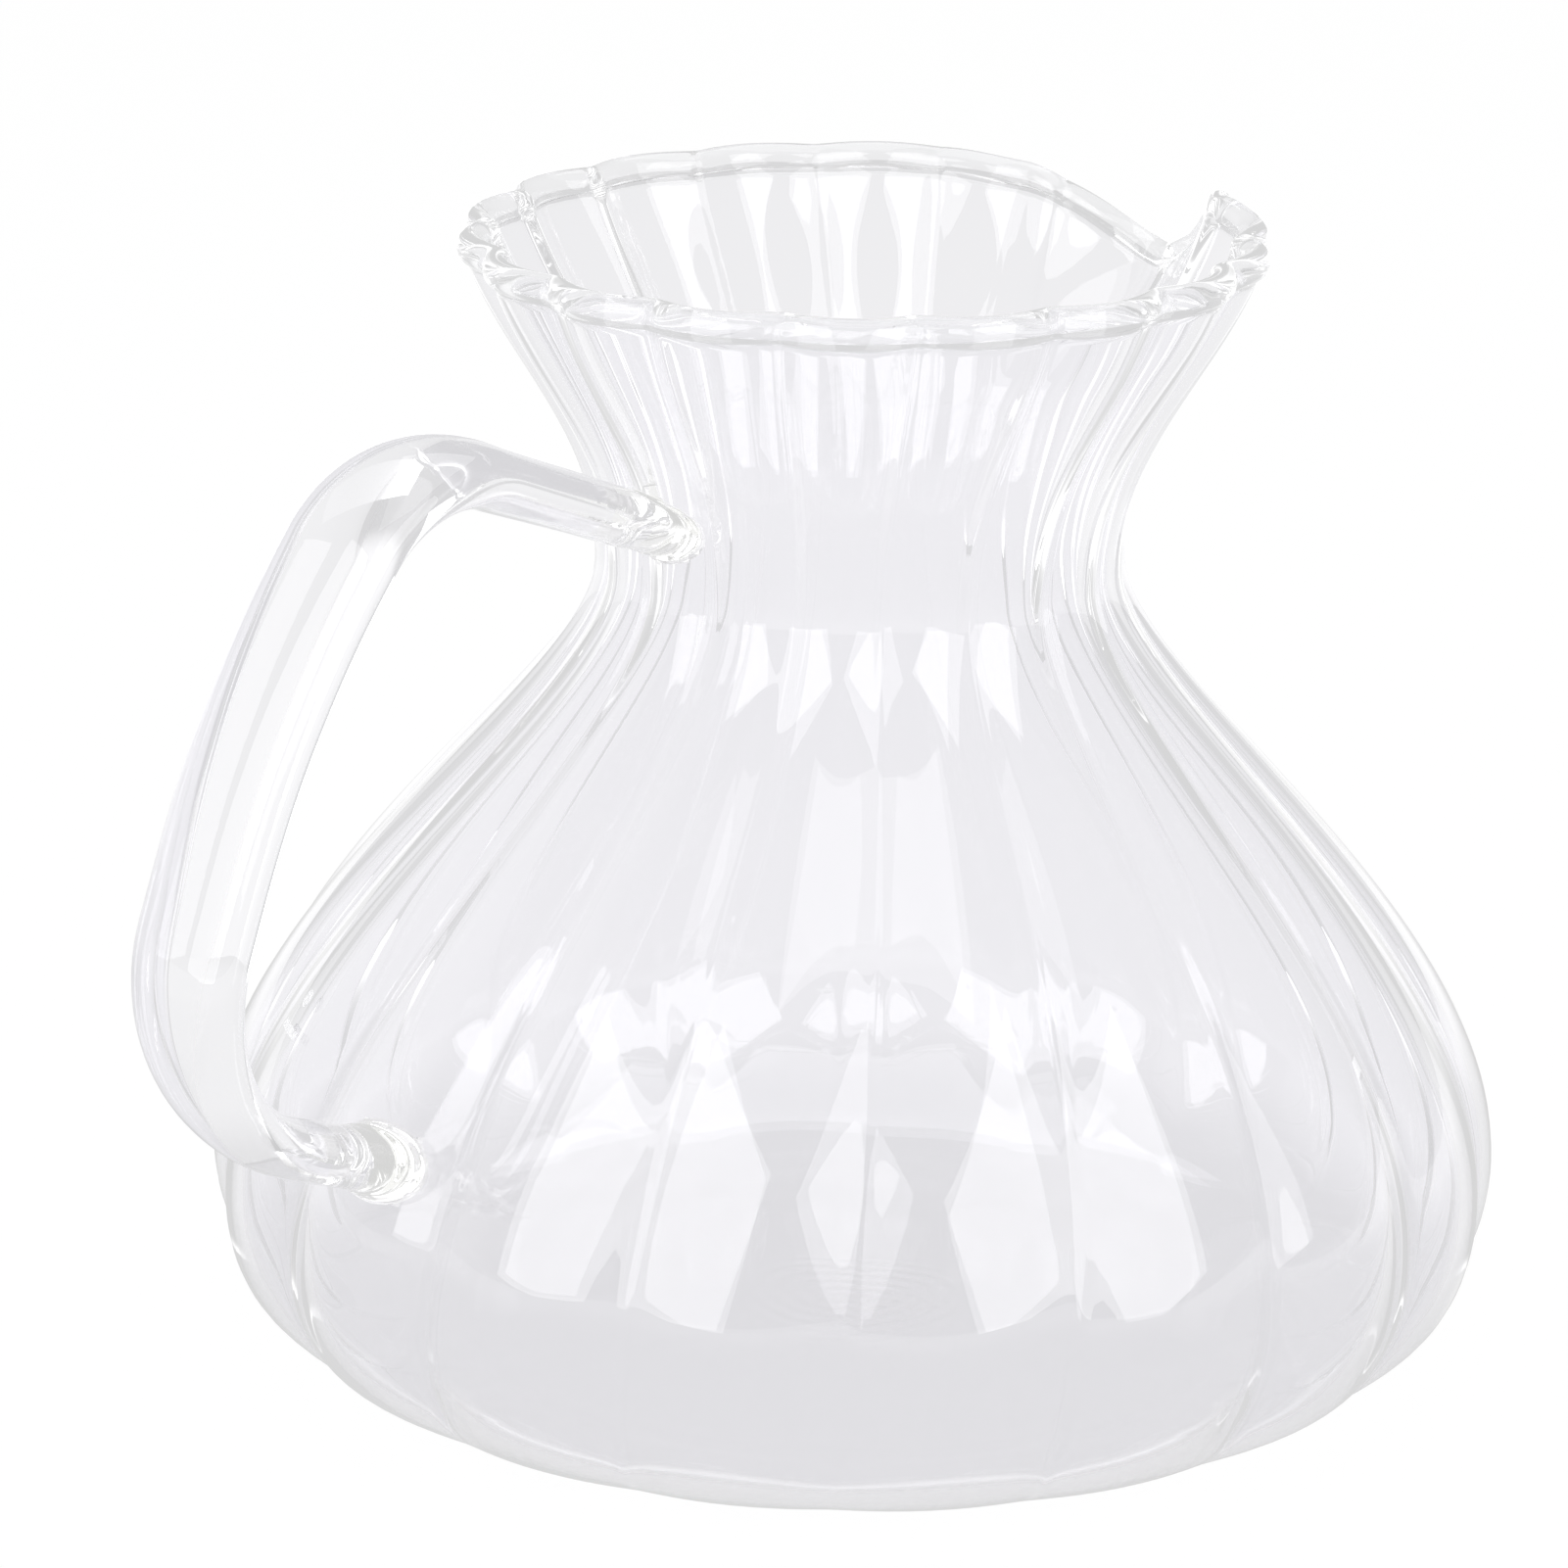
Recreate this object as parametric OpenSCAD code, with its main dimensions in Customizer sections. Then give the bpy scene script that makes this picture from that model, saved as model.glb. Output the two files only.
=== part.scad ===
// Coffee server carafe: a blown, fluted borosilicate vessel with a scalloped, fire-polished
// rim and a pulled pouring lip. A flattened glass rod is bent into the handle and fused to
// the neck and to the belly. Millimetres, +Z up, origin at the middle of the foot's
// underside, lip towards +X and handle towards -X.

/* [Body] */
// Largest outer radius of the belly
body_r = 58.2; // [54:0.2:62]
// Height of the widest ring above the table
body_h = 17.4; // [15:0.2:24]
// Radius of the flat foot that the carafe rests on
foot_r = 38; // [32:0.5:42]
// Outer radius at the narrowest ring of the neck
neck_r = 23.6; // [21:0.2:26]
// Height of the narrowest ring of the neck
neck_h = 73.5; // [70:0.5:78]
// Outer radius of the funnel just under the rim
mouth_r = 35; // [32:0.5:38]
// Height of the rim above the table
total_h = 103; // [99:0.5:108]

/* [Glass] */
// Thickness of the blown wall
wall = 1.7; // [1.4:0.1:2.2]
// Thickness of the floor at its middle
floor_t = 3; // [2.4:0.1:4.5]
// Radius of the fire-polished bead round the rim
bead_r = 1.35; // [1.2:0.05:1.7]

/* [Flutes] */
// Number of flutes blown into the wall
flutes = 18; // [14:1:20]
// Depth of the valleys between the flutes
flute_depth = 1.1; // [0.5:0.1:1.4]
// Depth of the scallops in the rim
scallop_depth = 1.5; // [0.8:0.1:2]
// Height of glass over which the flutes fade out towards the foot
fade_h = 9; // [6:0.5:14]
// Extra glass on the inside of the wall along each valley
rib_t = 0.4; // [0.1:0.1:0.8]
// Turn of the flutes from the foot up to the rim, in degrees
flute_twist = 10; // [0:1:16]

/* [Lip] */
// How far the lip is pulled outward
lip_reach = 2.8; // [2:0.2:6]
// How far the lip dips below the rim
lip_drop = 6.8; // [4:0.2:8]
// Half of the angle that the lip takes out of the rim, in degrees
lip_spread = 22.5; // [18:0.5:34]
// How much higher one corner of the hand-pulled lip stands than the other
lip_tilt = 1.8; // [0:0.2:3]
// Height of the channel that leads up to the lip
channel_h = 22; // [18:1:25]

/* [Handle] */
// Place of the upper joint as a share of the way from the narrowest ring up to the rim
upper_weld_share = 0.24; // [0.15:0.01:0.35]
// Height at which the lower arm is fused to the belly
lower_weld_h = 29; // [25:0.5:33]
// Distance that the upper arm reaches out past the neck
arm_reach = 29.8; // [26:0.2:33]
// Rise of the upper arm from the neck to its bend
arm_lift = 11.6; // [8:0.2:14]
// Distance that the lower bend stands out past the belly
heel_reach = 22; // [18:0.2:25]
// Rise of the lower arm from the belly to its bend
heel_lift = 9.2; // [7:0.2:13]
// Outward bow of the grip between the two bends
grip_bow = 4.3; // [2.5:0.1:6]
// Width of the flattened grip
grip_w = 13.4; // [11:0.5:17]
// Width of the arms where they leave the glass gathers
arm_w = 10; // [8:0.5:13]
// Thickness of the flattened rod
rod_t = 5.2; // [4.5:0.1:7]
// Radius of the upper bend along the middle of the rod
top_bend_r = 12.5; // [9:0.5:14]
// Radius of the lower bend along the middle of the rod
low_bend_r = 16.5; // [12:0.5:19]

/* [Welds] */
// Length of the fused gather between the rod and the wall
weld_l = 4.5; // [4:0.5:7]
// How far the gather spreads past the rod on the wall
weld_spread = 0.7; // [0.4:0.1:2]

/* [Hidden] */

// Places of the curve handles along the outline, as shares of the height that a curve climbs
// or the width that it spans
bowl_shares = [0.61, 0.63];
shoulder_shares = [0.4, 0.21];
funnel_shares = [0.42, 0.36];
// Lean of the funnel at its top, in degrees, and the share of flute depth left at the foot
funnel_lean = 21;
foot_flute_share = 0.25;
// Turn of the flutes at the foot, counted from the handle's plane
flute_start = 5.5;
// Width of the lip's corners as a share of half the lip
lip_corner_share = 0.62;
// Shape of the handle's long bow: where it peaks and its radius as a share of the grip
bow_place_share = 0.41;
bow_radius_share = 1.55;
// Squareness of the rod's section: 2 is an ellipse
rod_squareness = 2.3;

// Steps of the lofted surfaces
steps_per_flute = 5;
bowl_steps = 5;
shoulder_steps = 8;
funnel_steps = 6;
bead_steps = 7;
floor_shares = [0.7, 0.35];
rod_sides = 18;
rod_bend_steps = 8;
rod_bow_steps = 6;
rod_arm_steps = 3;
weld_steps = 6;
weld_seat_shares = [0.66, 0.33];

glass_colour = [0.86, 0.88, 0.92, 0.55];
gather_colour = [0.88, 0.91, 0.82, 0.7];

function mix(a, b, t) = a + (b - a) * t;
function ease(t) = let (u = max(0, min(1, t))) u * u * (3 - 2 * u);
function unit(v) = v / norm(v);

function bezier(p, t) =
    pow(1 - t, 3) * p[0] + 3 * pow(1 - t, 2) * t * p[1]
    + 3 * (1 - t) * t * t * p[2] + pow(t, 3) * p[3];

function bezier_way(p, t) =
    pow(1 - t, 2) * (p[1] - p[0]) + 2 * (1 - t) * t * (p[2] - p[1]) + t * t * (p[3] - p[2]);

// Outline of the outer skin as three curves of [radius, height], from the foot to the rim
bead_seat = sqrt(bead_r * bead_r - wall * wall / 4);
funnel_top_h = total_h - bead_r - wall / 2 * sin(funnel_lean) - bead_seat * cos(funnel_lean);
funnel_top = [mouth_r, funnel_top_h];
funnel_up = [sin(funnel_lean), cos(funnel_lean)];
funnel_out = [cos(funnel_lean), -sin(funnel_lean)];
shoulder_rise = neck_h - body_h;
funnel_rise = funnel_top_h - neck_h;

bowl_curve = [
    [foot_r, 0],
    [mix(foot_r, body_r, bowl_shares[0]), 0],
    [body_r, body_h * (1 - bowl_shares[1])],
    [body_r, body_h]
];
shoulder_curve = [
    [body_r, body_h],
    [body_r, body_h + shoulder_rise * shoulder_shares[0]],
    [neck_r, neck_h - shoulder_rise * shoulder_shares[1]],
    [neck_r, neck_h]
];
funnel_curve = [
    [neck_r, neck_h],
    [neck_r, neck_h + funnel_rise * funnel_shares[0]],
    funnel_top - funnel_up * funnel_rise * funnel_shares[1],
    funnel_top
];

// A station holds a point of the outline and the outward normal there
function station(curve, t) =
    let (way = unit(bezier_way(curve, t)))
    [bezier(curve, t), [way.y, -way.x]];

stations = [
    for (i = [0 : bowl_steps - 1]) station(bowl_curve, i / bowl_steps),
    for (i = [0 : shoulder_steps - 1]) station(shoulder_curve, i / shoulder_steps),
    for (i = [0 : funnel_steps]) station(funnel_curve, i / funnel_steps)
];
last_station = len(stations) - 1;

// Depth of the flutes at a height
function depth_at(h) =
    mix(foot_flute_share, 1, ease(h / fade_h))
    * mix(flute_depth, scallop_depth, ease((h - neck_h) / funnel_rise));

// How far round the flutes have turned at a height
function turn_at(h) = flute_start + flute_twist * h / total_h;

// 1 in a valley between two flutes and 0 on a flute's crest
function valley(turn) = 1 - abs(sin(turn * flutes / 2));

// The lip pulls the wall out and down. Its pull is full at the middle of the lip, fades to the
// lip's edges and dies out down the channel. The tilt lowers one edge and lifts the other.
function wrap(angle) = angle - 360 * round(angle / 360);
function hump(t) = abs(t) < 1 ? (1 + cos(180 * t)) / 2 : 0;
function lip_hold(h) = ease((h - (total_h - channel_h)) / channel_h);
function lip_shift(side, h) =
    lip_hold(h) * [
        lip_reach * hump(side),
        -lip_drop * hump(side)
        - lip_tilt / 2 * sign(side) * hump((abs(side) - 1) / lip_corner_share)
    ];

// One ring of the wall: radius and height of its crests, and depth of its valleys
ring_steps = flutes * steps_per_flute;
function wall_ring(p, depth) = [
    for (i = [0 : ring_steps - 1])
        let (
            turn = 360 * i / ring_steps,
            angle = turn + turn_at(p.y),
            shift = lip_shift(wrap(angle) / lip_spread, p.y),
            r = p.x - depth * valley(turn) + shift.x
        )
        [r * cos(angle), r * sin(angle), p.y + shift.y]
];

// Bead: an arc from the outer skin over the rim to the inner skin
bead_centre = funnel_top - funnel_out * wall / 2 + funnel_up * bead_seat;
bead_gap = acos(bead_seat / bead_r);
bead_start = -90 - funnel_lean + bead_gap;
bead_sweep = 360 - 2 * bead_gap;
function bead_point(i) =
    let (a = bead_start + bead_sweep * i / bead_steps)
    bead_centre + bead_r * [cos(a), sin(a)];

outer_rings = [for (s = stations) wall_ring(s[0], depth_at(s[0].y))];
bead_rings = [for (i = [1 : bead_steps - 1]) wall_ring(bead_point(i), depth_at(total_h))];
inner_rings = [
    for (i = [0 : last_station])
        let (s = stations[last_station - i])
        wall_ring(s[0] - wall * s[1], depth_at(s[0].y) + rib_t * ease(s[0].y / fade_h))
];
floor_rings = [
    for (share = floor_shares)
        wall_ring([foot_r * share, mix(floor_t, wall, share * share)], 0)
];

// Solid lofted through rings of equal length, closed by a middle point at each end
module loft(rings, first, last) {
    n = len(rings[0]);
    m = len(rings);
    points = [first, for (ring = rings) each ring, last];
    end = m * n + 1;
    faces = [
        for (i = [0 : n - 1]) [0, 1 + i, 1 + (i + 1) % n],
        for (j = [0 : m - 2], i = [0 : n - 1])
            let (a = 1 + j * n + i, b = 1 + j * n + (i + 1) % n)
            each [[a, a + n, b + n], [a, b + n, b]],
        for (i = [0 : n - 1]) [end, end - n + (i + 1) % n, end - n + i]
    ];
    polyhedron(points, faces);
}

module vessel() {
    color(glass_colour)
        loft(
            concat(outer_rings, bead_rings, inner_rings, floor_rings),
            [0, 0, 0],
            [0, 0, floor_t]
        );
}

// Height and radius of the outer skin's crests, for what is fused to the wall
skin_table = [for (s = stations) [s[0].y, s[0].x]];

// Point of the outer skin, at an angle round the axis and a height
function skin_point(angle, h) =
    let (r = lookup(h, skin_table) - depth_at(h) * valley(angle - turn_at(h)))
    [r * cos(angle), r * sin(angle), h];

// The handle's middle line as [distance from the axis, height], with its bends
upper_weld_h = neck_h + funnel_rise * upper_weld_share;
function skin_seat(h) = [-skin_point(180, h).x, h];
upper_seat = skin_seat(upper_weld_h);
lower_seat = skin_seat(lower_weld_h);
top_corner = [neck_r + arm_reach, upper_weld_h + arm_lift];
low_corner = [body_r + heel_reach, lower_weld_h + heel_lift];
grip_line = low_corner - top_corner;
grip_outward = unit([-grip_line.y, grip_line.x]);
bow_corner = top_corner + grip_line * bow_place_share + grip_outward * grip_bow;
bow_r = norm(grip_line) * bow_radius_share;

upper_way = unit(top_corner - upper_seat);
lower_way = unit(low_corner - lower_seat);
rod_start = upper_seat + upper_way * weld_l;
rod_end = lower_seat + lower_way * weld_l;

// Arc that rounds the corner b between a and c
function bend(a, b, c, r, steps) =
    let (
        u = unit(a - b),
        v = unit(c - b),
        half = acos(u * v) / 2,
        centre = b + unit(u + v) * r / sin(half),
        from = unit(b + u * r / tan(half) - centre),
        to = unit(b + v * r / tan(half) - centre),
        sweep = acos(from * to)
    )
    [
        for (i = [0 : steps])
            centre + r * (sin(sweep * (1 - i / steps)) * from + sin(sweep * i / steps) * to) / sin(sweep)
    ];

top_bend = bend(rod_start, top_corner, bow_corner, top_bend_r, rod_bend_steps);
bow_bend = bend(top_corner, bow_corner, low_corner, bow_r, rod_bow_steps);
low_bend = bend(bow_corner, low_corner, rod_end, low_bend_r, rod_bend_steps);
rod_path = [
    for (i = [0 : rod_arm_steps - 1]) mix(rod_start, top_bend[0], i / rod_arm_steps),
    each top_bend,
    each bow_bend,
    each low_bend,
    for (i = [1 : rod_arm_steps]) mix(low_bend[rod_bend_steps], rod_end, i / rod_arm_steps)
];
last_rod = len(rod_path) - 1;

function rod_way(i) = unit(rod_path[min(last_rod, i + 1)] - rod_path[max(0, i - 1)]);
function rod_run(i) = i == 0 ? 0 : rod_run(i - 1) + norm(rod_path[i] - rod_path[i - 1]);
rod_l = rod_run(last_rod);
arm_l = norm(top_bend[0] - rod_start) + top_bend_r;

// Width of the rod at a distance from its nearer end
function rod_width(run) = mix(arm_w, grip_w, ease(min(run, rod_l - run) / arm_l));

// Offset of a point on the rod's rounded section, across the rod and through it
function round_power(s) = sign(s) * pow(abs(s), 2 / rod_squareness);
function rod_offset(k, width) =
    let (a = 360 * k / rod_sides)
    [width / 2 * round_power(cos(a)), rod_t / 2 * round_power(sin(a))];

// Section of the rod round a point of its middle line, square to its way
function rod_ring(at, way, width) = [
    for (k = [0 : rod_sides - 1])
        let (
            o = rod_offset(k, width),
            p = at + [-way.y, way.x] * o.y
        )
        [-p.x, o.x, p.y]
];

module handle() {
    color(glass_colour)
        loft(
            [for (i = [0 : last_rod]) rod_ring(rod_path[i], rod_way(i), rod_width(rod_run(i)))],
            [-rod_start.x, 0, rod_start.y],
            [-rod_end.x, 0, rod_end.y]
        );
}

// Point of the wall under a gather, spread from the seat by an offset
function seat_point(seat, o) = skin_point(180 - o.x / seat.x * 180 / PI, seat.y + o.y);

// Fused gather: it runs from the rod's end section and spreads out on the wall
module gather(seat, way) {
    end = seat + way * weld_l;
    ring = rod_ring(end, way, arm_w);
    foot_w = arm_w + 2 * weld_spread;
    foot_share = (rod_t + 2 * weld_spread) / rod_t;
    offsets = [for (k = [0 : rod_sides - 1]) rod_offset(k, arm_w)];
    spread = [for (o = offsets) [o.x * foot_w / arm_w, o.y * foot_share]];
    body = [
        for (j = [0 : weld_steps])
            let (t = j / weld_steps)
            [
                for (k = [0 : rod_sides - 1])
                    pow(1 - t, 2) * ring[k]
                    + 2 * t * (1 - t) * seat_point(seat, offsets[k])
                    + t * t * seat_point(seat, spread[k])
            ]
    ];
    seat_rings = [
        for (share = weld_seat_shares)
            [for (o = spread) seat_point(seat, o * share)]
    ];
    loft(concat(body, seat_rings), [-end.x, 0, end.y], seat_point(seat, [0, 0]));
}

module upper_weld() {
    color(gather_colour)
        gather(upper_seat, upper_way);
}

module lower_weld() {
    color(gather_colour)
        gather(lower_seat, lower_way);
}

vessel();
handle();
upper_weld();
lower_weld();
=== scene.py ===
"""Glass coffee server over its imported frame: blown vessel, drawn handle, fused gathers, level mark and stage."""
import math

import bpy
import numpy as np
from bpy.props import FloatProperty, FloatVectorProperty, IntProperty, PointerProperty
from bpy.types import Operator, Panel, PropertyGroup
from mathutils import Matrix, Vector


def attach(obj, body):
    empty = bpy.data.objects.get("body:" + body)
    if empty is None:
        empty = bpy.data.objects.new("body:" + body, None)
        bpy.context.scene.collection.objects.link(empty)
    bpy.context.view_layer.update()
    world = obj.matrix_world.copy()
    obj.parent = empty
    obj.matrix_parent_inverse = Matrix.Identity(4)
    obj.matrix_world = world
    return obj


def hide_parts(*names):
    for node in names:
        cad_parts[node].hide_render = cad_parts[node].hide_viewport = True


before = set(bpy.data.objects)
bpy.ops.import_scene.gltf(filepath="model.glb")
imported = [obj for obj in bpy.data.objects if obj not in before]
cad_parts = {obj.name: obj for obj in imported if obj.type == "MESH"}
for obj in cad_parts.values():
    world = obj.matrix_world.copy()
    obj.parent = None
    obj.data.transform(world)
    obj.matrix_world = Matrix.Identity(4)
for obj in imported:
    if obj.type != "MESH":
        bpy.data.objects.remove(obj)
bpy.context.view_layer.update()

bl_info = {
    "name": "Coffee server carafe",
    "version": (1, 0, 0),
    "blender": (4, 5, 0),
    "location": "3D View > Sidebar > Carafe",
    "description": "Builds a fluted glass coffee server, its finish and its stage",
    "category": "Object",
}


# Sizes and colours

def length(name, text, default):
    return FloatProperty(name=name, description=text, default=default, min=0, subtype="DISTANCE", unit="LENGTH",
                         precision=5)


def angle(name, text, default):
    return FloatProperty(name=name, description=text, default=math.radians(default), subtype="ANGLE", unit="ROTATION")


def share(name, text, default):
    return FloatProperty(name=name, description=text, default=default, min=0, soft_max=1, subtype="FACTOR")


def amount(name, text, default):
    return FloatProperty(name=name, description=text, default=default, min=0)


def colour(name, text, default):
    return FloatVectorProperty(name=name, description=text, default=default, size=3, min=0, max=1, subtype="COLOR")


class CarafeVessel(PropertyGroup):
    """Sizes of the blown wall."""
    body_radius: length("Belly radius", "Widest radius over the flutes", 0.0582)
    body_height: length("Belly height", "Height of the widest place", 0.0174)
    foot_radius: length("Foot radius", "Radius of the ring that it stands on", 0.038)
    neck_radius: length("Neck radius", "Radius of the waist under the funnel", 0.0236)
    neck_height: length("Neck height", "Height of the waist", 0.0735)
    mouth_radius: length("Mouth radius", "Radius of the outer skin at the rim", 0.035)
    height: length("Height", "Height of the rim away from the lip", 0.10296)
    wall: length("Wall", "Thickness of the blown wall", 0.0017)
    floor: length("Floor", "Thickness of the glass at the middle of the floor", 0.003)
    bead_radius: length("Bead radius", "Radius of the fire-polished rim", 0.00135)
    flutes: IntProperty(name="Flutes", description="Number of blown lobes round the wall", default=18, min=3)
    flute_depth: length("Flute depth", "Depth of the creases between lobes on the belly", 0.0013)
    neck_depth: length("Neck depth", "Depth of the creases at the neck", 0.00055)
    scallop_depth: length("Scallop depth", "Depth of the creases at the rim", 0.0013)
    fade_height: length("Fade height", "Height over which the flutes rise from the foot", 0.009)
    rib: length("Rib", "Extra glass that gathers behind each crease", 0.00025)
    twist: angle("Twist", "Turn of the flutes from foot to rim", 10)
    crease: share("Crease softness", "How far each crease is melted round", 0.1)
    lip_reach: length("Lip reach", "How far the lip is pulled out", 0.0028)
    lip_drop: length("Lip drop", "How far the lip is pulled down", 0.0068)
    lip_spread: angle("Lip spread", "Half width of the lip round the rim", 22.5)
    lip_tilt: length("Lip tilt", "Height between the two corners of the lip", 0.0018)
    channel: length("Channel", "Height of the pouring channel under the lip", 0.022)
    swirl_radius: length("Swirl radius", "Radius of the swirl left in the floor by the blowing iron", 0.0115)
    swirl_depth: length("Swirl depth", "Height of the ripples in that swirl", 0.000025)
    unevenness: length("Unevenness", "How much the inner skin wanders from an even wall", 0.00016)


class CarafeHandle(PropertyGroup):
    """Sizes of the drawn rod and its gathers."""
    upper_share: share("Upper weld place", "Where the upper weld sits in the funnel's rise", 0.24)
    lower_height: length("Lower weld height", "Height of the lower weld on the belly", 0.029)
    arm_reach: length("Arm reach", "Reach of the upper bend from the neck", 0.0292)
    arm_lift: length("Arm lift", "Rise of the upper arm from its weld", 0.0116)
    heel_reach: length("Heel reach", "Reach of the lower bend from the belly", 0.02133)
    heel_lift: length("Heel lift", "Height of the lower bend over its weld", 0.0092)
    bow: length("Grip bow", "How far the grip bows out", 0.0043)
    grip_width: length("Grip width", "Width of the flattened rod at the grip", 0.0134)
    arm_width: length("Arm width", "Width of the rod at its welds", 0.01)
    thickness: length("Rod thickness", "Thickness of the flattened rod at its welds", 0.0052)
    grip_thickness: length("Grip thickness", "Thickness of the flattened rod at the grip", 0.0064)
    top_bend: length("Top bend", "Radius of the upper bend", 0.0125)
    low_bend: length("Low bend", "Radius of the lower bend", 0.0165)
    weld_length: length("Weld length", "Length of each fused gather", 0.0045)
    weld_spread: length("Weld spread", "How far a gather spreads on the wall", 0.0007)
    wrinkle: length("Wrinkle", "Height of the folds where the gather was pushed on", 0.00016)
    draw_ripple: length("Draw ripple", "Height of the long ripples left by drawing the rod", 0.00002)


class CarafeFinish(PropertyGroup):
    """Colours and textures of the glass."""
    glass_tint: colour("Glass", "Tint of the glass surface", (0.985, 0.981, 1.0))
    thick_tint: colour("Thick glass", "Tint where the glass is gathered thick, as in the rim", (0.966, 0.967, 0.975))
    weld_tint: colour("Weld", "Straw tint of the fused gathers", (0.99, 0.99, 0.96))
    mark_colour: colour("Level mark", "Colour of the fired enamel", (0.86, 0.86, 0.87))
    shadow_tint: colour("Shadow tint", "Light that the glass lets through to what it stands on", (0.946, 0.943, 0.955))


class CarafeStudio(PropertyGroup):
    """Table, lamps and camera."""
    table_colour: colour("Table", "Colour of the table", (0.9, 0.9, 0.905))
    table_radius: length("Table radius", "Radius of the pale table", 6)
    table_glow: share("Table glow", "How evenly white the table shows to the camera", 0.96)
    through_glow: share("Table through glass", "How evenly lit the table shows through the glass", 0.9)
    # Painted shadow: seen through the glass, the table is darker under the carafe, out to the painted shadow radius
    through_painted_shadow: share("Level under", "Brightness of the table under the carafe, seen through the glass", 0.75)
    through_away: share("Level away", "Brightness of the table farther off, seen through the glass", 0.88)
    painted_shadow_radius: length("Shade radius", "How far the darker table reaches", 0.05)
    clear_radius: length("Clear radius", "Where the table is at its even brightness", 0.085)
    # Painted shade and glow: mirrored in the glass, the table is darker near the carafe and glows brighter than white
    # farther off
    mirrored_painted_shade: share("Table mirrored near", "Brightness of the table near the carafe, mirrored in the glass", 0.68)
    mirrored_painted_glow: share("Table mirrored far", "Brightness of the table farther off, mirrored in the glass", 1.3)
    lamp_distance: length("Lamp distance", "Distance of the softboxes from the carafe", 1.0)
    lamp_width: length("Lamp width", "Width of each softbox", 0.8)
    lamp_height: length("Lamp height", "Height of each softbox", 0.9)
    lamp_lift: angle("Lamp lift", "Angle of the softboxes above the table", 24)
    left_turn: angle("Left lamp", "Angle of the left softbox from the camera", -44)
    right_turn: angle("Right lamp", "Angle of the right softbox from the camera", 40)
    left_roll: angle("Left roll", "How far the left softbox is turned about its own middle", -9)
    right_roll: angle("Right roll", "How far the right softbox is turned about its own middle", 17)
    lamp_radiance: amount("Lamp radiance", "Brightness of the softboxes, where white paper is 1", 2.2)
    front_grey: share("Front grey", "Brightness of the room behind the camera, at table height", 0.76)
    ceiling: share("Ceiling", "Brightness of the ceiling", 0.8)
    back_white: share("Back white", "Brightness of the backdrop as the glass shows it", 0.88)
    side_turn: angle("Side card", "Angle of the white card on the left from the camera", -113)
    side_lift: angle("Side card lift", "Angle of the card's middle above the table", 12)
    side_fill: amount("Side fill", "How much brighter than the backdrop the card is", 0.38)
    top_radiance: amount("Top radiance", "Brightness of the overhead softbox", 1.1)
    top_width: length("Top width", "Width of the overhead softbox", 0.7)
    top_length: length("Top length", "Length of the overhead softbox, away from the camera", 1.5)
    top_height: length("Top height", "Height of the overhead softbox", 1.0)
    top_back: length("Top back", "How far the overhead softbox hangs back from the carafe", 0.205)
    top_side: length("Top side", "How far it hangs to the right", 0.06)
    view_turn: angle("View turn", "Camera's angle round the carafe", -42)
    view_lift: angle("View lift", "Camera's angle above the table", 17.6)
    view_roll: angle("View roll", "Tilt of the picture", 0.62)
    view_distance: length("View distance", "Camera's distance", 0.6152)
    aim_side: FloatProperty(name="Aim side", description="Aim point to the right of the axis", default=-0.00655,
                            subtype="DISTANCE", unit="LENGTH")
    aim_height: length("Aim height", "Height of the aim point", 0.0516)
    lens: FloatProperty(name="Lens", description="Focal length in millimetres", default=157.4, min=1)


# Shapes as numbers

def mix(a, b, t):
    return a + (b - a) * t


def ease(t):
    u = np.clip(t, 0, 1)
    return u * u * (3 - 2 * u)


def unit(v):
    return v / np.linalg.norm(v)


def hump(t):
    return np.where(np.abs(t) < 1, (1 + np.cos(math.pi * t)) / 2, 0)


def bezier(corners, t):
    """Points of a cubic curve and its directions there."""
    p = np.array(corners, dtype=float)
    t = np.asarray(t, dtype=float)[:, None]
    at = (1 - t) ** 3 * p[0] + 3 * (1 - t) ** 2 * t * p[1] + 3 * (1 - t) * t * t * p[2] + t ** 3 * p[3]
    way = (1 - t) ** 2 * (p[1] - p[0]) + 2 * (1 - t) * t * (p[2] - p[1]) + t * t * (p[3] - p[2])
    return at, way / np.linalg.norm(way, axis=1, keepdims=True)


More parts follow.
